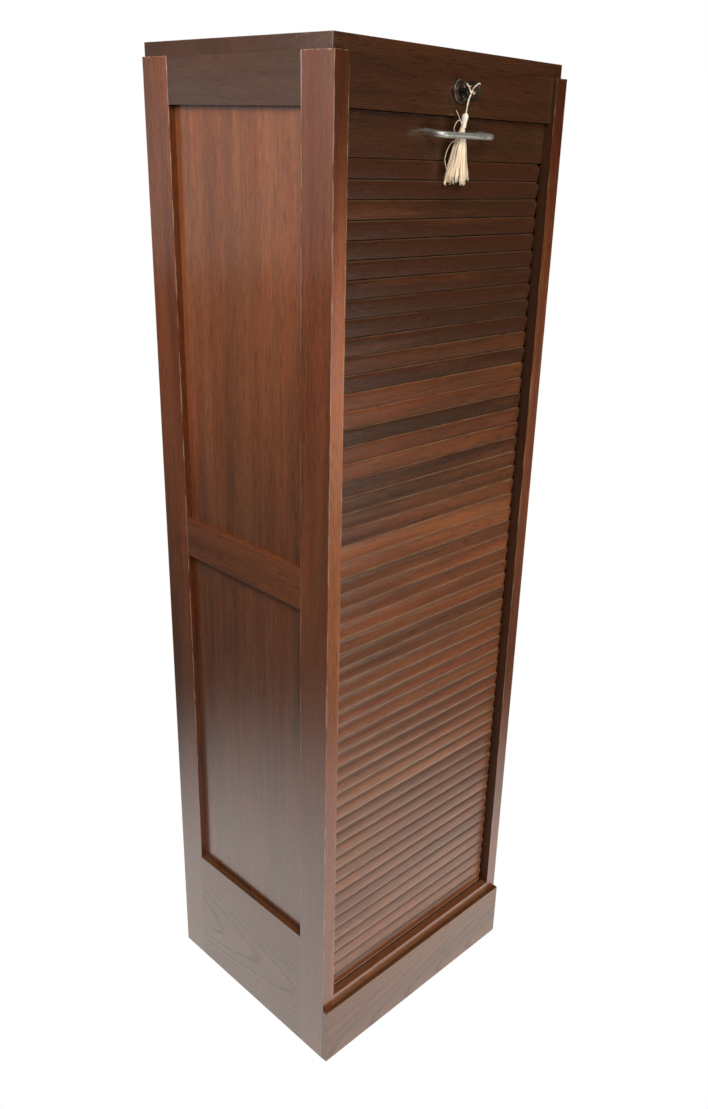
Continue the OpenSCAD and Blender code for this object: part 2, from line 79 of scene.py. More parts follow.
class Nodes:
    """Adds nodes to a new material and links them to its Principled shader."""

    def __init__(self, name, **surface):
        self.material = bpy.data.materials.new(name)
        self.material.use_nodes = True
        self.tree = self.material.node_tree
        self.surface = self.tree.nodes["Principled BSDF"]
        for key, value in surface.items():
            self.feed(self.surface.inputs[key.replace("_", " ")], value)

    def feed(self, socket, value):
        if isinstance(value, bpy.types.NodeSocket):
            self.tree.links.new(value, socket)
        else:
            socket.default_value = value

    def add(self, kind, inputs=(), **settings):
        node = self.tree.nodes.new("ShaderNode" + kind)
        for key, value in settings.items():
            setattr(node, key, value)
        for key, value in dict(inputs).items():
            self.feed(node.inputs[key], value)
        return node

    def math(self, operation, *values):
        return self.add("Math", enumerate(values), operation=operation).outputs[0]

    def vector(self, operation, *values):
        node = self.add("VectorMath", enumerate(values), operation=operation)
        return node.outputs["Value" if operation in ("LENGTH", "DISTANCE") else "Vector"]

    def noise(self, place, scale=1.0, detail=4.0, roughness=0.55):
        inputs = {"Vector": place, "Scale": scale, "Detail": detail, "Roughness": roughness}
        return self.add("TexNoise", inputs).outputs[0]

    def step(self, value, low, high, smallest=0.0, largest=1.0):
        """Smooth step of a value that runs from low to high."""
        inputs = {"Value": value, "From Min": low, "From Max": high, "To Min": smallest, "To Max": largest}
        return self.add("MapRange", inputs, interpolation_type="SMOOTHSTEP").outputs[0]

    def blend(self, share, first, second, mode="MIX"):
        node = self.add("Mix", data_type="RGBA", blend_type=mode)
        for socket, value in ((0, share), (6, first), (7, second)):
            self.feed(node.inputs[socket], value)
        return node.outputs[2]

    def ramp(self, value, *stops):
        """Colour from a list of (place, colour) stops."""
        node = self.add("ValToRGB", {"Fac": value})
        points = node.color_ramp.elements
        while len(points) < len(stops):
            points.new(0.5)
        for point, (place, colour) in zip(points, stops):
            point.position = place
            point.color = colour
        return node.outputs[0]

    def bump(self, height, distance, strength):
        inputs = {"Height": height, "Distance": distance, "Strength": strength}
        return self.add("Bump", inputs).outputs[0]


def grey(level):
    return (level, level, level, 1)


def shade(red, green, blue, share=1.0):
    return (red * share, green * share, blue * share, 1)


# ---------- meshes made here ----------

class Solid:
    """Gathers the points, faces and point values of one piece."""

    def __init__(self):
        self.points = []
        self.faces = []
        self.values = {}

    def add(self, points, faces, **values):
        start = len(self.points)
        self.points += [tuple(p) for p in points]
        self.faces += [[start + i for i in face] for face in faces]
        for key, value in values.items():
            each = value if isinstance(value, list) else [value] * len(points)
            self.values.setdefault(key, []).extend(each)

    def loft(self, rings, **values):
        """Closed skin over rings that have the same number of points."""
        sides = len(rings[0])
        points = [p for ring in rings for p in ring]
        faces = []
        for j in range(len(rings) - 1):
            for k in range(sides):
                after = (k + 1) % sides
                faces.append([j * sides + k, j * sides + after, (j + 1) * sides + after, (j + 1) * sides + k])
        faces.append(list(reversed(range(sides))))
        faces.append([(len(rings) - 1) * sides + k for k in range(sides)])
        self.add(points, faces, **values)

    def piece(self, name, material, body, material_slot, smooth=True):
        mesh = bpy.data.meshes.new(name)
        mesh.from_pydata(self.points, [], self.faces)
        for key, values in self.values.items():
            if isinstance(values[0], float):
                mesh.attributes.new(key, "FLOAT", "POINT").data.foreach_set("value", values)
            else:
                flat = [c for v in values for c in v]
                mesh.attributes.new(key, "FLOAT_VECTOR", "POINT").data.foreach_set("vector", flat)
        mesh.materials.append(material)
        if smooth:
            mesh.shade_smooth()
        obj = bpy.data.objects.new(name, mesh)
        bpy.context.scene.collection.objects.link(obj)
        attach(obj, body)
        return obj


def frames(route):
    """Directions along and across a route, turned as little as possible from point to point."""
    last = len(route) - 1
    tangents = [(route[min(i + 1, last)] - route[max(i - 1, 0)]).normalized() for i in range(last + 1)]
    side = tangents[0].orthogonal().normalized()
    found = []
    for tangent in tangents:
        side = (side - tangent * side.dot(tangent)).normalized()
        found.append((side, tangent.cross(side)))
    return found


def smooth_route(points, count):
    """Points evenly placed by parameter on the smooth curve through a few points."""
    points = [Vector(p) for p in points]
    padded = [points[0] * 2 - points[1], *points, points[-1] * 2 - points[-2]]
    found = []
    for i in range(count):
        t = i / (count - 1) * (len(points) - 1)
        k = min(int(t), len(points) - 2)
        t -= k
        a, b, c, d = padded[k:k + 4]
        found.append(0.5 * (2 * b + (c - a) * t + (2 * a - 5 * b + 4 * c - d) * t * t
                            + (3 * b - a - 3 * c + d) * t ** 3))
    return found


def strand(solid, route, radius, sides=6, flatness=1.0, twist=0.0, **values):
    """Round or flattened strand along a route, turning round itself by twist radians per metre."""
    rings = []
    travelled = 0.0
    for i, (centre, (u, w)) in enumerate(zip(route, frames(route))):
        if i:
            travelled += (centre - route[i - 1]).length
        turn = travelled * twist
        ring = []
        for k in range(sides):
            a = math.tau * k / sides
            x, y = radius * math.cos(a), radius * flatness * math.sin(a)
            ring.append(centre + u * (x * math.cos(turn) - y * math.sin(turn))
                        + w * (x * math.sin(turn) + y * math.cos(turn)))
        rings.append(ring)
    solid.loft(rings, **values)


# ---------- tassel and its cord ----------

# The cord's centre line, as in part.scad: from the knot under the key's ring down into the skirt
CORD_ROUTE = [
    (-0.6, -16.2, 1569.6), (-1.1, -15.8, 1568), (-1.8, -15.4, 1566), (-3.3, -14.6, 1562.2),
    (-4, -13.4, 1558), (-3.7, -12, 1554), (-2.7, -10.2, 1550), (-1, -8, 1546), (0.4, -6, 1541.5),
    (0.6, -4.6, 1536), (0.5, -3.8, 1531), (0.3, -2.8, 1527), (0, -2, 1521), (-0.2, -1.5, 1515),
    (-0.4, -0.7, 1507.5), (-0.6, 0, 1500),
]
# Outline of the skirt of strands from its neck down: half width, half depth, and the middle's X, Y and Z
SKIRT = [
    (2.4, 2.4, 0.3, -2.8, 1529), (4.5, 4, 0, -2.2, 1521), (8, 6, -0.3, -1.4, 1512), (13, 8, -0.8, 0, 1500),
    (19, 10, -1.2, 2, 1480), (24, 11, -1.6, 3, 1460), (25, 11, -1.6, 3, 1450),
]
NECK_Z = 1529
# Share of a turn and angle that spread the locks of the skirt evenly
GOLDEN_SHARE = 0.618
GOLDEN_ANGLE = 2.4


def at(x, y, z):
    """Point of the tassel, in millimetres, with Y measured from the stiles' front plane."""
    return Vector((x * MM, FRONT + y * MM, z * MM))


def silk(name, shadow, light):
    """Twisted silky thread. Its tone, from 0 to 1, is a value of each strand."""
    nodes = Nodes(name, Roughness=0.45, IOR=1.5, Sheen_Weight=0.5, Sheen_Roughness=0.35)
    place = nodes.add("TexCoord").outputs["Object"]
    tone = nodes.add("Attribute", attribute_name="tone").outputs["Fac"]
    threads = nodes.noise(nodes.vector("MULTIPLY", place, (1500, 1500, 260)), detail=3)
    level = nodes.math("MULTIPLY_ADD", threads, 0.5, tone)
    nodes.feed(nodes.surface.inputs["Base Color"], nodes.ramp(level, (0.25, shadow), (0.75, light)))
    nodes.feed(nodes.surface.inputs["Normal"], nodes.bump(threads, 0.0001, 0.5))
    return nodes.material


def make_cord(white):
    """Two threads twisted into the cord that carries the tassel."""
    centre_line = smooth_route([at(*p) for p in CORD_ROUTE], 90)
    cord = Solid()
    for ply in (0, 1):
        path, travelled = [], 0.0
        for i, (point, (u, w)) in enumerate(zip(centre_line, frames(centre_line))):
            if i:
                travelled += (point - centre_line[i - 1]).length
            a = travelled / (3.6 * MM) * math.tau + math.pi * ply
            path.append(point + (u * math.cos(a) + w * math.sin(a)) * 0.55 * MM)
        strand(cord, path, 0.63 * MM, sides=8, tone=0.75)
    return centre_line, cord.piece("hanging_cord", white, "tassel", "cord_silk")


def make_knot(white):
    """The knot, its two short ends, and the two strands that go round the wire of the key's ring."""
    low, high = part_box("key")
    wire = 2.2 * MM
    ring_r = 10.8 * MM
    ring = Vector((0, low.y + ring_r + wire, (low.z + high.z) / 2))
    knot = Vector(at(*CORD_ROUTE[1]))
    thread = 0.62 * MM
    solid = Solid()
    for side in (-1, 1):
        outward = Vector((0, side, 1)).normalized()
        middle = ring + outward * ring_r
        leg, wrap = [], []
        for i in range(25):
            a = math.radians(-70 + 400 * i / 24)
            about = Vector((math.sin(a), 0, 0)) - outward * math.cos(a)
            slip = Vector((0, outward.z, -outward.y)) * (0.9 * MM * i / 24 * side)
            wrap.append(middle + about * (wire + thread * 0.9) + slip)
        for i in range(8):
            t = i / 8
            sag = Vector((-1.2 * MM * math.sin(math.pi * t), 0, 0))
            leg.append(knot.lerp(wrap[0], t) + sag)
        strand(solid, leg + wrap, thread, sides=7, tone=0.7)
    ends = (((-1.1, -15.8, 1568), (-3.4, -16.4, 1566.3), (-5.6, -17, 1567.2), (-6.6, -17.2, 1569.6)),
            ((-1.1, -15.8, 1568), (1.4, -16.2, 1565.8), (3.8, -16.4, 1566.4), (5, -16.2, 1568.6)))
    for points in ends:
        strand(solid, smooth_route([at(*p) for p in points], 16), 0.55 * MM, sides=6, tone=0.7)
    turns = []
    for i in range(61):
        a = math.tau * i / 60
        about = Vector((math.cos(2 * a), math.sin(2 * a), 0)) * (1.3 + 0.55 * math.cos(3 * a))
        turns.append(knot + (about + Vector((0, 0, 0.9 * math.sin(3 * a)))) * MM)
    strand(solid, turns, 0.8 * MM, sides=7, tone=0.65)
    return solid.piece("key_knot", white, "tassel", "cord_silk")


def skirt_point(share, angle, z):
    """Point inside the skirt at a height in millimetres."""
    upper, lower = SKIRT[0], SKIRT[1]
    for a, b in zip(SKIRT, SKIRT[1:]):
        if b[4] <= z <= a[4]:
            upper, lower = a, b
    t = (upper[4] - z) / (upper[4] - lower[4])
    half_x, half_y, x, y, _ = (p + (q - p) * t for p, q in zip(upper, lower))
    return at(x + share * half_x * math.cos(angle), y + share * half_y * math.sin(angle), z)


def make_skirt(cream):
    """Strands that hang from the neck in locks of uneven length."""
    rng = random.Random(5)
    skirt = Solid()
    locks = 38
    for lock in range(locks):
        share = 0.35 + 0.65 * math.sqrt((lock * GOLDEN_SHARE) % 1.0)
        angle = lock * GOLDEN_ANGLE + rng.uniform(-0.2, 0.2)
        drift = rng.uniform(-0.3, 0.3)
        hem = rng.uniform(1451.5, 1461)
        lock_tone = rng.uniform(0.1, 0.8)
        for _ in range(6):
            own_share = min(1.0, share + rng.uniform(-0.05, 0.05))
            own_angle = angle + rng.uniform(-0.11, 0.11) / share
            end = hem + rng.uniform(-1, 3)
            phase = rng.uniform(0, math.tau)
            path = []
            for i in range(14):
                t = i / 13
                sway = 1 + 0.03 * math.sin(phase + 8 * t)
                z = NECK_Z - 0.5 + (end - NECK_Z) * t
                path.append(skirt_point(own_share * sway, own_angle + drift * t * t, z))
            tone = lock_tone + rng.uniform(-0.1, 0.1)
            strand(skirt, path, 0.55 * MM, sides=6, flatness=0.8, twist=60, tone=tone)
    return skirt.piece("tassel_skirt", cream, "tassel", "tassel_silk")


def make_head(white):
    """The bulb under the cord, and the thread wound round the neck."""
    solid = Solid()
    outline = [(2.9, 1524), (3.0, 1528), (3.2, 1531), (4.0, 1533.5), (4.4, 1536), (4.1, 1538.5),
               (3.1, 1540.7), (1.7, 1542)]
    layers = []
    for r, z in outline:
        t = (z - 1526) / 16
        ring = []
        for k in range(48):
            a = math.tau * k / 48
            ribbed = r * (1 + 0.05 * math.cos(12 * a + 0.35 * z))
            ring.append(at(0.3 + 0.3 * t + ribbed * math.cos(a), -2.8 - 2.9 * t + ribbed * math.sin(a), z))
        layers.append(ring)
    solid.loft(layers, tone=0.7)
    windings = []
    for i in range(180):
        t = i / 179
        a = math.tau * 9 * t
        windings.append(at(0.3 + 3.3 * math.cos(a), -2.8 - 1.1 * t + 3.3 * math.sin(a), 1523.5 + 8.5 * t))
    strand(solid, windings, 0.52 * MM, sides=6, tone=0.75)
    return solid.piece("tassel_head", white, "tassel", "tassel_silk")


def make_stray_threads(cream):
    """Threads that have come loose from the skirt."""
    solid = Solid()
    routes = (((-2, -3, 1530), (-8, -2, 1533), (-13, -1, 1529), (-15, 0, 1522), (-11, 0, 1516)),
              ((-9, 0, 1508), (-17, 1, 1505), (-24, 2, 1496), (-27, 3, 1484), (-24, 3, 1474), (-19, 3, 1470)),
              ((-3, -3, 1528), (-9, -2, 1538), (-14, -1, 1545)),
              ((-12, 2, 1480), (-20, 3, 1466), (-27, 3, 1453)),
              ((11, 3, 1497), (16, 3, 1485), (19, 3, 1468), (17, 3, 1456)))
    for points in routes:
        strand(solid, smooth_route([at(*p) for p in points], 30), 0.4 * MM, sides=5, tone=0.6)
    return solid.piece("stray_threads", cream, "tassel", "tassel_silk")


def make_tassel():
    cream = silk("tassel_silk", shade(0.78, 0.46, 0.26), shade(1.0, 0.87, 0.66))
    white = silk("cord_silk", shade(0.85, 0.66, 0.46), shade(1.0, 0.92, 0.76))
    centre_line, cord = make_cord(white)
    knot = make_knot(white)
    skirt = make_skirt(cream)
    head = make_head(white)
    stray = make_stray_threads(cream)
    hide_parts("tassel_cord")
    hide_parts("tassel_knot")
    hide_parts("tassel")


make_tassel()


# ---------- wood ----------

AXES = {"X": 0, "Y": 1, "Z": 2}


def along(axis, across, lengthwise):
    """Scale that stretches a pattern along the grain."""
    return tuple(lengthwise if i == AXES[axis] else across for i in range(3))


def edge_distance(nodes, place, low, high):
    """How far a point on a board's skin is from the nearest edge of the board."""
    centre, half = (low + high) / 2, (high - low) / 2
    away = nodes.vector("ABSOLUTE", nodes.vector("SUBTRACT", place, tuple(centre)))
    room = nodes.add("SeparateXYZ", {0: nodes.vector("SUBTRACT", tuple(half), away)}).outputs
    smaller = nodes.math("MINIMUM", room[0], room[1])
    larger = nodes.math("MAXIMUM", room[0], room[1])
    return nodes.math("MAXIMUM", smaller, nodes.math("MINIMUM", larger, room[2]))


def oak_pattern(nodes, place, axis, flat_place=None, centre=None):
    """Streaks, blotches, hues, growth rings, flecks, pores and fibres of oak, each from 0 to 1.

    Where there is a centre, the rings are the nested arches of a flat-sawn board, seen at flat_place."""
    def stretched(across, lengthwise):
        return nodes.vector("MULTIPLY", place, along(axis, across, lengthwise))

    streaks = nodes.noise(stretched(45, 1.8), detail=8, roughness=0.68)
    blotches = nodes.noise(stretched(14, 2.4), detail=4)
    flecks = nodes.noise(stretched(260, 14), detail=4, roughness=0.65)
    fibres = nodes.noise(stretched(720, 30), detail=3)
    hues = nodes.noise(nodes.vector("ADD", stretched(16, 3), (3.1, 5.7, 1.9)), detail=3)
    bend = nodes.noise(stretched(7, 0.9), detail=2)
    if centre is None:
        pith = nodes.vector("ADD", stretched(1, 0.012), (0.31, 0.17, 0.23))
        radius = nodes.vector("LENGTH", pith)
        spacing = 190.0
    else:
        away = nodes.add("SeparateXYZ", {0: nodes.vector("SUBTRACT", flat_place, centre)}).outputs
        height = nodes.math("ADD", away[2], nodes.math("MULTIPLY", nodes.math("SUBTRACT", bend, 0.5), 0.06))
        arch = nodes.math("MULTIPLY", nodes.math("MULTIPLY", height, height), 11.0)
        radius = nodes.math("MULTIPLY_ADD", away[AXES[axis]], -0.16, arch)
        spacing = 130.0
    radius = nodes.math("ADD", radius, nodes.math("MULTIPLY", bend, 0.05))
    rings = nodes.math("PINGPONG", nodes.math("MULTIPLY", radius, spacing), 1.0)
    pore_noise = nodes.noise(stretched(900, 46), detail=2, roughness=0.5)
    pores = nodes.step(nodes.math("MULTIPLY_ADD", rings, 0.10, pore_noise), 0.58, 0.68)
    veins = 0.0
    if centre is not None:
        broken = nodes.step(nodes.noise(stretched(260, 40), detail=3), 0.30, 0.58)
        veins = nodes.math("MULTIPLY", nodes.step(rings, 0.60, 0.98), broken)
    return {"streaks": streaks, "blotches": blotches, "flecks": flecks, "fibres": fibres, "hues": hues,
            "rings": rings, "pores": pores, "veins": veins}


def oak_finish(nodes, pattern, tone, dark, middle, light, worn=None, painted_light=None, soiled=None):
    """Colours, gloss and relief of stained and varnished oak.

    Wear pales it where the stain has gone, and on slat edges painted highlights and reflections pale it too;
    painted light pales front faces; dirt and painted shade darken it."""
    mixed = nodes.math("MULTIPLY", pattern["blotches"], 0.49)
    mixed = nodes.math("MULTIPLY_ADD", pattern["streaks"], 0.57, mixed)
    mixed = nodes.math("MULTIPLY_ADD", pattern["rings"], 0.06, mixed)
    mixed = nodes.math("MULTIPLY_ADD", pattern["flecks"], 0.22, mixed)
    mixed = nodes.math("ADD", mixed, tone)
    colour = nodes.ramp(mixed, (0.43, dark), (0.67, middle), (0.95, light))
    hue = nodes.ramp(pattern["hues"], (0.35, shade(0.94, 1.02, 1.0)), (0.65, shade(1.07, 0.96, 0.93)))
    colour = nodes.blend(1.0, colour, hue, "MULTIPLY")
    colour = nodes.blend(nodes.math("MULTIPLY", pattern["pores"], 0.42), colour, shade(*dark[:3], 0.4))
    colour = nodes.blend(nodes.math("MULTIPLY", pattern["veins"], 0.5), colour, shade(*dark[:3], 0.3))
    # Painted light: a paler copy of the colour, blended in on front faces.
    if painted_light is not None:
        painted_light_colour = nodes.blend(1.0, colour, shade(2.6, 2.75, 2.9), "MULTIPLY")
        colour = nodes.blend(painted_light, colour, painted_light_colour)
    rough = nodes.math("MULTIPLY_ADD", pattern["fibres"], 0.16, 0.17)
    rough = nodes.math("MULTIPLY_ADD", pattern["veins"], 0.15, rough)
    # Dirt and painted shade: a dark colour blended in, with more roughness.
    if soiled is not None:
        colour = nodes.blend(soiled, colour, shade(0.045, 0.018, 0.007))
        rough = nodes.math("MULTIPLY_ADD", soiled, 0.3, rough)
    # Wear and painted highlight: a pale colour blended in, with more roughness; on boards it is edge wear, on
    # slats also painted highlights and reflections.
    if worn is not None:
        colour = nodes.blend(worn, colour, shade(0.44, 0.29, 0.18))
        rough = nodes.math("MULTIPLY_ADD", worn, 0.15, rough)
    open_grain = nodes.math("MAXIMUM", pattern["pores"], nodes.math("MULTIPLY", pattern["veins"], 1.5))
    relief = nodes.math("MULTIPLY_ADD", open_grain, -1.0, nodes.math("MULTIPLY", pattern["flecks"], 0.7))
    nodes.feed(nodes.surface.inputs["Base Color"], colour)
    nodes.feed(nodes.surface.inputs["Roughness"], rough)
    nodes.feed(nodes.surface.inputs["Normal"], nodes.bump(relief, 0.00012, 0.35))


def oak_board(node, axis, seed, dark, middle, light, tone=0.0, centre=None, gloss=0.5, edge=0.0022,
              front=0.0, painted_top_light=0.0):
    """Oak for one board, with paler edges where the stain has rubbed off.

    Front is how much painted light pales its front face, most in the middle of its height, and that face is
    made darker towards its top. A board can also have its upper part painted paler than its foot, as painted
    light."""
    nodes = Nodes("oak_" + node, IOR=1.55, Coat_Weight=gloss, Coat_Roughness=0.16, Coat_IOR=1.5)
    place = nodes.add("TexCoord").outputs["Object"]
    painted_light = soiled = None
    # Painted light: the upper part is painted paler than the foot.
    if painted_top_light:
        height = nodes.add("SeparateXYZ", {0: place}).outputs[2]
        tone = nodes.step(height, 0.90, 1.25, tone - painted_top_light / 2, tone + painted_top_light / 2)
    # Painted light: the front face is painted paler, most in the middle of its height; it is also made darker
    # towards its top.
    if front:
        normal = nodes.add("NewGeometry").outputs["Normal"]
        facing = nodes.step(nodes.add("SeparateXYZ", {0: normal}).outputs[1], -0.4, -0.8)
        height = nodes.add("SeparateXYZ", {0: place}).outputs[2]
        upper_part = nodes.step(height, 1.46, 1.18, 0.08, front)
        lower_part = nodes.step(height, 0.60, 1.15, 0.30, 1.0)
        painted_light = nodes.math("MULTIPLY", facing, nodes.math("MULTIPLY", upper_part, lower_part))
        darker = nodes.math("MULTIPLY", facing, nodes.step(height, 1.36, 1.60, 0.0, 0.25))
        tone = nodes.math("SUBTRACT", tone, darker)
        # Painted shade: the inner side face of a front stile, beside the tambour, is painted darker.
        sideways = nodes.add("SeparateXYZ", {0: normal}).outputs[0]
        inner = nodes.math("MULTIPLY", sideways, -1.0 if node.startswith("right") else 1.0)
        soiled = nodes.step(inner, 0.4, 0.8, 0.0, 0.7)
    shifted = nodes.vector("ADD", place, (seed * 1.37, seed * 0.73, seed * 2.11))
    pattern = oak_pattern(nodes, shifted, axis, place, centre)
    worn = None
    if edge:
        ragged = nodes.noise(nodes.vector("MULTIPLY", shifted, along(axis, 160, 22)), detail=3)
        reach = nodes.math("MULTIPLY", nodes.step(ragged, 0.35, 0.75), edge)
        distance = edge_distance(nodes, place, *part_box(node))
        worn = nodes.step(nodes.math("SUBTRACT", distance, reach), 0.0004, -0.0006, 0.0, 0.45)
    oak_finish(nodes, pattern, tone, dark, middle, light, worn, painted_light, soiled)
    return nodes.material


FRAME_TONES = (shade(0.062, 0.0165, 0.0055), shade(0.135, 0.037, 0.012), shade(0.225, 0.065, 0.022))
PANEL_TONES = (shade(0.072, 0.0215, 0.0078), shade(0.162, 0.050, 0.018), shade(0.270, 0.088, 0.034))
DARK_TONES = (shade(0.031, 0.0125, 0.0055), shade(0.054, 0.0200, 0.008), shade(0.085, 0.033, 0.013))
BASE_TONES = (shade(0.068, 0.0250, 0.0110), shade(0.140, 0.050, 0.020), shade(0.215, 0.084, 0.036))
INSIDE_TONES = (shade(0.130, 0.070, 0.035), shade(0.240, 0.140, 0.075), shade(0.340, 0.210, 0.120))


def dress(node, material, bevel=0.0):
    """Gives a CAD node its material, and rounds its edges."""
    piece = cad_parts[node]
    if not piece.material_slots:
        piece.data.materials.append(material)
    for material_slot in piece.material_slots:
        material_slot.material = material
    if bevel:
        weld = piece.modifiers.new("weld", "WELD")
        weld.merge_threshold = 0.00002
        rounding = piece.modifiers.new("rounding", "BEVEL")
        rounding.width = bevel
        rounding.segments = 2
        rounding.limit_method = "ANGLE"
        rounding.angle_limit = math.radians(40)


def dress_boards():
    frame_boards = {
        "left_front_stile": "Z", "right_front_stile": "Z", "left_rear_stile": "Z", "right_rear_stile": "Z",
        "left_top_rail": "Y", "right_top_rail": "Y", "left_middle_rail": "Y", "right_middle_rail": "Y",
        "back_top_rail": "X", "back_middle_rail": "X", "back_bottom_rail": "X",
    }
    for seed, (node, axis) in enumerate(frame_boards.items()):
        tones = DARK_TONES if "top_rail" in node else FRAME_TONES
        front = {"left_front_stile": 1.0, "right_front_stile": 0.4}.get(node, 0.0)
        edge = 0.0022 if "stile" in node else 0
        tone = -0.06 if node == "right_front_stile" else 0.0
        dress(node, oak_board(node, axis, seed, *tones, tone=tone, edge=edge, front=front), 0.0006)
    for seed, node in enumerate(("left_bottom_rail", "right_bottom_rail")):
        low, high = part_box(node)
        centre = (0, low.y + 0.35 * (high.y - low.y), 0.45 * high.z)
        dress(node, oak_board(node, "Y", 20 + seed, *BASE_TONES, centre=centre, gloss=0.4, edge=0), 0.0006)
    panels = ("left_upper_panel", "right_upper_panel", "left_lower_panel", "right_lower_panel",
              "back_upper_panel", "back_lower_panel")
    for seed, node in enumerate(panels):
        # Lower panels are darker than the upper ones.
        tone = -0.09 if "lower" in node else -0.03
        # Upper panels get painted light: their upper part is painted paler.
        painted_top_light = 0.10 if "upper" in node else 0.0
        dress(node, oak_board(node, "Z", 30 + seed, *PANEL_TONES, tone=tone, edge=0, painted_top_light=painted_top_light))
    for seed, (node, axis) in enumerate({"top_board": "X", "lock_rail": "X", "leading_board": "X"}.items()):
        edge = 0.0006 if node == "top_board" else 0
        dress(node, oak_board(node, axis, 40 + seed, *DARK_TONES, gloss=0.25, edge=edge), 0.0008)
    dress("sill", oak_board("sill", "X", 50, *BASE_TONES, tone=0.12, edge=0), 0.0008)
    centre = (-0.12, 0, 0.01)
    plinth = oak_board("plinth_board", "X", 51, *BASE_TONES, centre=centre, gloss=0.3, edge=0.001)
    dress("plinth_board", plinth, 0.0008)
    inside = {"top_cleats": "Y", "front_base_rail": "X", "floor_board": "X", "floor_battens": "Y",
              "inner_back_panel": "Z", "shelf_battens": "Y"}
    inside.update({f"shelf_{i}": "X" for i in range(1, 6)})
    for seed, (node, axis) in enumerate(inside.items()):
        dress(node, oak_board(node, axis, 60 + seed, *INSIDE_TONES, gloss=0.1, edge=0), 0.0006)


dress_boards()


# ---------- slats ----------

def slat_oak():
    """Oak of the slats. Each slat has a tone and a piece of the pattern of its own."""
    nodes = Nodes("slat_oak", IOR=1.5, Coat_Weight=0.25, Coat_Roughness=0.2, Coat_IOR=1.5)
    place = nodes.add("Attribute", attribute_name="grain").outputs["Vector"]
    tone = nodes.add("Attribute", attribute_name="tone").outputs["Fac"]
    worn = nodes.add("Attribute", attribute_name="worn").outputs["Fac"]
    soiled = nodes.add("Attribute", attribute_name="soiled").outputs["Fac"]
    pattern = oak_pattern(nodes, place, "X")
    # Wear with painted highlights, and dirt with painted shade, broken up along the slat.
    ragged = nodes.noise(nodes.vector("MULTIPLY", place, (20, 200, 200)), detail=3)
    worn = nodes.math("MULTIPLY", worn, nodes.step(ragged, 0.3, 0.6, 0.35, 1.0))
    soiled = nodes.math("MULTIPLY", soiled, nodes.step(ragged, 0.7, 0.3, 0.6, 1.0))
    oak_finish(nodes, pattern, tone, shade(0.050, 0.0185, 0.0080), shade(0.145, 0.0455, 0.0165),
               shade(0.290, 0.098, 0.034), worn, soiled=soiled)
    return nodes.material


SLAT_T = 9.5 * MM
SLAT_HALF_LENGTH = 205 * MM
PITCH = 25 * MM
# Gap between the slats of the CAD model
CAD_GAP = 0.8 * MM
SLATS_PER_PIECE = 11
FIRST_SLAT_SEED = 100


def clamped(value):
    return min(1.0, max(0.0, value))


def slat_section(half):
    """A slat's outline as (depth behind its front, height): nearly flat, with its top edge rounded most."""
    lower, upper = 1.0 * MM, 9.0 * MM
    outline = []
    for degrees in (0, 30, 60, 85):
        a = math.radians(degrees)
        outline.append((lower * (1 - math.sin(a)) + 0.3 * MM, lower * (1 - math.cos(a)) - half))
    for share in (0, 0.2, 0.4, 0.6, 0.8):
        z = lower - half + (2 * half - lower - upper) * share
        outline.append((0.3 * MM * (2 * share - 1) ** 2, z))
    for degrees in (0, 20, 35, 50, 62, 73, 82, 90):
        a = math.radians(degrees)
        outline.append((0.3 * MM + 2.8 * MM * (1 - math.cos(a)), half - upper * (1 - math.sin(a))))
    return outline


def lowness(height):
    """How low on the tambour a slat is, from 0 in its upper part to 1 in its lower part."""
    return clamped((1.1 - height) / 0.5)


def slat_wear(x, z, half, height):
    """How much wear and painted highlight, and how much dirt and painted shade, a point of a slat's face has.

    It is paler along its top edge, wear with a painted highlight, and low on the tambour along its bottom
    edge, a painted reflection. It is darker at its tips, dirt and painted shade beside the stiles, and low on
    the tambour over its upper third, painted shade."""
    top = clamped((z - half + 1.6 * MM) / (1.0 * MM))
    bottom = clamped((-z - half + 1.4 * MM) / (0.8 * MM))
    upper_third = clamped((z - half + 9 * MM) / (5 * MM))
    tip = clamped((abs(x) - SLAT_HALF_LENGTH + 9 * MM) / (8 * MM))
    low = lowness(height)
    middle = clamped((1.3 - height) / 0.3)
    # Wear with a painted highlight along the top edge; low on the tambour, a painted reflection along the
    # bottom edge.
    pale = max((0.2 + 0.4 * middle) * top * (1 - 0.4 * low), 0.9 * bottom * low)
    # Painted shade over the upper third low on the tambour; dirt and painted shade at the tips.
    dirt_and_shade_share = max(0.85 * upper_third * (1 - 0.5 * top) * low, 0.9 * tip * tip)
    return pale, dirt_and_shade_share


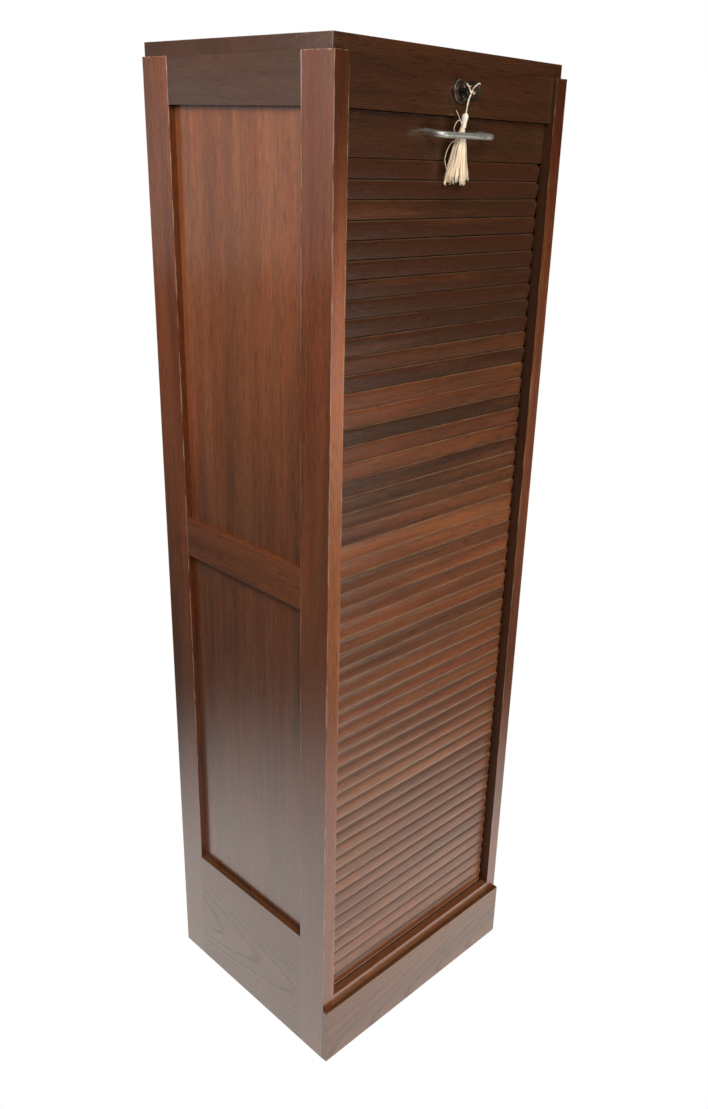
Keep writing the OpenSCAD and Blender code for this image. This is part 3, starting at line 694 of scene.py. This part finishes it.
def add_slat(solid, matrix, height, slat_seed):
    """One slat with rounded tips and the tongues that run in the track."""
    rng = random.Random(slat_seed)
    half = (PITCH - rng.uniform(0.7, 1.2) * MM) / 2
    outline = [*slat_section(half), (SLAT_T, half), (SLAT_T, -half)]
    low = lowness(height)
    tone = (rng.choice((-0.12, -0.06, -0.02, 0.02, 0.05, 0.10)) + rng.uniform(-0.03, 0.03)) * (1 - 0.75 * low)
    # Slats are darker towards the top of the tambour and a little paler low down.
    tone += 0.05 * low - 0.30 * clamped((height - 0.95) / 0.35)
    fading = rng.uniform(-0.25, 0.25)
    shift = Vector([rng.uniform(-9, 9) for _ in range(3)])
    tilt = rng.uniform(-0.25, 0.25) * MM / SLAT_HALF_LENGTH
    tip = 6 * MM
    inward = [0, 0.3 * MM, 1.0 * MM, 2.2 * MM, 4 * MM, tip, 9 * MM, 16 * MM]
    stops = [-SLAT_HALF_LENGTH + d for d in inward]
    stops += [SLAT_HALF_LENGTH * t / 5 for t in range(-4, 5)]
    stops += [SLAT_HALF_LENGTH - d for d in reversed(inward)]
    rings, grain, worn, soiled, tones = [], [], [], [], []
    for x in stops:
        past = max(0.0, abs(x) - (SLAT_HALF_LENGTH - tip)) / tip
        fall = tip * (1 - math.sqrt(max(0.0, 1 - past * past)))
        ring = []
        for y, z in outline:
            point = Vector((x, min(SLAT_T, y + fall), z * (1 - 0.11 * past * past) + tilt * x))
            ring.append(matrix @ point)
            grain.append(tuple(point + shift))
            pale, dirt_and_shade_share = slat_wear(x, z, half, height)
            worn.append(pale)
            soiled.append(dirt_and_shade_share)
            tones.append(tone + fading * x)
        rings.append(ring)
    solid.loft(rings, tone=tones, grain=grain, worn=worn, soiled=soiled)
    for side in (-1, 1):
        near, far = side * (SLAT_HALF_LENGTH - 3 * MM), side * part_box("top_slats")[1].x
        rings = []
        for x in sorted((near, far)):
            corners = ((4.5, -9), (4.5, 9), (9.5, 9), (9.5, -9))
            rings.append([matrix @ Vector((x, y * MM, z * MM)) for y, z in corners])
        # The tongues in the track are made darker.
        solid.loft(rings, tone=tone, grain=[tuple(p) for ring in rings for p in ring], worn=0.0, soiled=0.3)


def make_slats():
    material = slat_oak()
    groups = ("top_slats", "upper_slats", "middle_slats", "lower_slats", "bottom_slats")
    low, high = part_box("top_slats")
    for group, node in enumerate(groups):
        solid = Solid()
        for i in range(SLATS_PER_PIECE):
            number = group * SLATS_PER_PIECE + i
            middle = high.z + CAD_GAP / 2 - (number + 0.5) * PITCH
            place = Matrix.Translation((0, low.y, middle))
            add_slat(solid, place, middle, FIRST_SLAT_SEED + number)
        piece = solid.piece("tambour_" + node, material, "case", "slat_oak")
        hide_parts(node)
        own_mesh(piece)


make_slats()


# ---------- metals ----------

def brushed_metal(name, colour, rough, metallic=1.0, grime=shade(0.05, 0.045, 0.04), axis="X"):
    nodes = Nodes(name, Metallic=metallic)
    place = nodes.add("TexCoord").outputs["Object"]
    lines = nodes.noise(nodes.vector("MULTIPLY", place, along(axis, 1800, 90)), detail=3)
    patches = nodes.noise(place, scale=90, detail=5)
    dirt = nodes.step(patches, 0.52, 0.78, 0.0, 0.55)
    nodes.feed(nodes.surface.inputs["Base Color"], nodes.blend(dirt, colour, grime))
    gloss = nodes.math("MULTIPLY_ADD", patches, 0.25, rough)
    nodes.feed(nodes.surface.inputs["Roughness"], nodes.math("MULTIPLY_ADD", lines, 0.08, gloss))
    nodes.feed(nodes.surface.inputs["Normal"], nodes.bump(lines, 0.00004, 0.5))
    return nodes.material


def turned_brown():
    """Turned and stained wood of the escutcheon, polished along its rings."""
    nodes = Nodes("turned_brown", IOR=1.5, Coat_Weight=0.6, Coat_Roughness=0.2)
    place = nodes.add("TexCoord").outputs["Object"]
    streaks = nodes.noise(nodes.vector("MULTIPLY", place, (90, 400, 500)), detail=4)
    colour = nodes.ramp(streaks, (0.3, shade(0.020, 0.011, 0.008)), (0.7, shade(0.055, 0.026, 0.018)))
    nodes.feed(nodes.surface.inputs["Base Color"], colour)
    nodes.feed(nodes.surface.inputs["Roughness"], nodes.math("MULTIPLY_ADD", streaks, 0.2, 0.25))
    nodes.feed(nodes.surface.inputs["Normal"], nodes.bump(streaks, 0.00008, 0.5))
    return nodes.material


def dress_metals():
    dress("handle", brushed_metal("handle_metal", shade(0.60, 0.61, 0.58), 0.36))
    steel = brushed_metal("steel", shade(0.42, 0.41, 0.39), 0.3)
    for node in ("handle_screws", "batten_screws", "lock_case", "lock_cap", "lock_screws"):
        dress(node, steel)
    brass = brushed_metal("brass", shade(0.62, 0.43, 0.16), 0.25)
    for node in ("keeper_plate", "keeper_screws", "lock_bolt"):
        dress(node, brass)
    dress("key", brushed_metal("dark_iron", shade(0.06, 0.05, 0.045), 0.45))
    dress("escutcheon", turned_brown())


dress_metals()


# ---------- canvas ----------

def canvas_cloth():
    """Plain weave of flax threads about a millimetre apart."""
    nodes = Nodes("canvas", Roughness=0.95, IOR=1.4)
    place = nodes.add("Attribute", attribute_name="weave").outputs["Vector"]
    parts = nodes.add("SeparateXYZ", {0: place}).outputs
    across = nodes.math("SINE", nodes.math("MULTIPLY", parts[0], math.pi / (0.9 * MM)))
    down = nodes.math("SINE", nodes.math("MULTIPLY", parts[2], math.pi / (0.9 * MM)))
    thread = nodes.math("MULTIPLY", across, down)
    uneven = nodes.noise(place, scale=60, detail=4)
    level = nodes.math("MULTIPLY_ADD", thread, 0.12, uneven)
    colour = nodes.ramp(level, (0.25, shade(0.22, 0.15, 0.09)), (0.75, shade(0.46, 0.36, 0.24)))
    nodes.feed(nodes.surface.inputs["Base Color"], colour)
    nodes.feed(nodes.surface.inputs["Normal"], nodes.bump(thread, 0.0002, 0.7))
    return nodes.material


def cloth_strip(profile, half_width, thickness, columns=8):
    """Thin closed sheet with its cross-section along a profile of (y, z) points."""
    solid = Solid()
    rings, weave = [], []
    outer = [Vector((0, *p)) for p in profile]
    inner = []
    for i, point in enumerate(outer):
        run = outer[min(i + 1, len(outer) - 1)] - outer[max(i - 1, 0)]
        inner.append(point + Vector((0, run.z, -run.y)).normalized() * thickness)
    outline = outer + inner[::-1]
    travelled = [0.0]
    for a, b in zip(outer, outer[1:]):
        travelled.append(travelled[-1] + (b - a).length)
    lengths = travelled + travelled[::-1]
    for c in range(columns + 1):
        x = half_width * (2 * c / columns - 1)
        rings.append([Vector((x, p.y, p.z)) for p in outline])
        weave += [(x, 0.0, run) for run in lengths]
    solid.loft(rings, weave=weave)
    return solid


def make_canvas():
    cloth = canvas_cloth()
    thickness = 0.6 * MM
    low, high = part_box("canvas")
    rows = 24
    profile = [(low.y + 0.1 * MM, low.z + (high.z - low.z) * i / rows) for i in range(rows + 1)]
    front = cloth_strip(profile, high.x, thickness).piece("canvas_front", cloth, "case", "canvas", False)
    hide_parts("canvas")
    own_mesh(front)
    low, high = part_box("tail_canvas")
    radius = high.y - low.y - 0.1 * MM
    quarter = [math.radians(90 * i / rows) for i in range(rows, -1, -1)]
    profile = [(high.y - radius * math.cos(a), high.z - radius * math.sin(a)) for a in quarter]
    tail = cloth_strip(profile, high.x, thickness).piece("canvas_tail", cloth, "case", "canvas", False)
    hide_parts("tail_canvas")


make_canvas()
dress("tail_slats", oak_board("tail_slats", "X", 90, *PANEL_TONES, edge=0), 0.0006)


# ---------- room ----------

def make_floor():
    """Pale floor that glows: white to the camera, and in reflections and in the light it casts a painted pool
    of light, bright round the cabinet and dark further off.
    """
    reach = 6.0
    corners = [(-reach, -reach, 0), (reach, -reach, 0), (reach, reach, 0), (-reach, reach, 0)]
    mesh = bpy.data.meshes.new("floor")
    mesh.from_pydata(corners, [], [[0, 1, 2, 3]])
    floor = bpy.data.objects.new("floor", mesh)
    bpy.context.scene.collection.objects.link(floor)
    nodes = Nodes("pale_floor", Base_Color=grey(0.0), Roughness=1.0, Specular_IOR_Level=0.0)
    away = nodes.vector("LENGTH", nodes.add("TexCoord").outputs["Object"])
    glow_reflected = nodes.step(away, 1.4, 0.5, 0.10, 1.35)
    glow_cast = nodes.step(away, 2.2, 0.3, 0.05, 0.55)
    rays = nodes.add("LightPath").outputs
    other = nodes.add("Mix", {0: rays["Is Glossy Ray"], 2: glow_cast, 3: glow_reflected}).outputs[0]
    glow = nodes.add("Mix", {0: rays["Is Camera Ray"], 2: other, 3: 1.0}).outputs[0]
    warm = nodes.blend(rays["Is Camera Ray"], shade(1.0, 0.96, 0.90), grey(1.0))
    nodes.feed(nodes.surface.inputs["Emission Color"], warm)
    nodes.feed(nodes.surface.inputs["Emission Strength"], glow)
    mesh.materials.append(nodes.material)


def make_world():
    """White behind the cabinet, and a dark room in reflections."""
    world = bpy.data.worlds.new("studio")
    bpy.context.scene.world = world
    world.use_nodes = True
    tree = world.node_tree
    background = tree.nodes["Background"]
    path = tree.nodes.new("ShaderNodeLightPath")
    dim = tree.nodes.new("ShaderNodeMapRange")
    dim.inputs["To Min"].default_value = 0.11
    dim.inputs["To Max"].default_value = 0.01
    tree.links.new(path.outputs["Is Glossy Ray"], dim.inputs["Value"])
    brighter = tree.nodes.new("ShaderNodeMath")
    brighter.operation = "MAXIMUM"
    tree.links.new(dim.outputs[0], brighter.inputs[0])
    tree.links.new(path.outputs["Is Camera Ray"], brighter.inputs[1])
    tree.links.new(brighter.outputs[0], background.inputs["Strength"])
    background.inputs["Color"].default_value = grey(1.0)


def card(name, place, target, size, radiance, colour=(1, 1, 1)):
    """Soft rectangular light of a given radiance that the camera doesn't see."""
    lamp = bpy.data.lights.new(name, "AREA")
    lamp.shape = "RECTANGLE"
    lamp.size, lamp.size_y = size
    lamp.energy = radiance * math.pi * size[0] * size[1]
    lamp.color = colour
    obj = bpy.data.objects.new(name, lamp)
    obj.location = place
    obj.rotation_mode = "QUATERNION"
    obj.rotation_quaternion = (Vector(target) - Vector(place)).to_track_quat("-Z", "Y")
    obj.visible_camera = False
    bpy.context.scene.collection.objects.link(obj)


WARM = (1, 0.95, 0.88)
make_floor()
make_world()
card("back_window", (-2.6, 3.0, 1.4), (0, 0, 1.4), (2.2, 1.0), 0.5)
card("side_window", (-1.05, 0.15, 1.9), (-0.2, 0, 1.4), (0.6, 0.6), 12.0)
card("front_light", (-1.4, -2.6, 2.9), (0, 0, 0.9), (1.4, 1.4), 11.0, WARM)
card("low_light", (0.5, -2.3, 0.7), (0, 0, 0.4), (1.2, 0.9), 8.0, WARM)
card("top_light", (0.2, -0.9, 3.0), (0, -0.2, 1.0), (1.0, 0.5), 4.0, WARM)
card("rear_light", (1.8, 2.6, 1.9), (0, 0, 0.9), (1.4, 1.4), 5.0, WARM)
bpy.context.scene.view_settings.view_transform = "Standard"
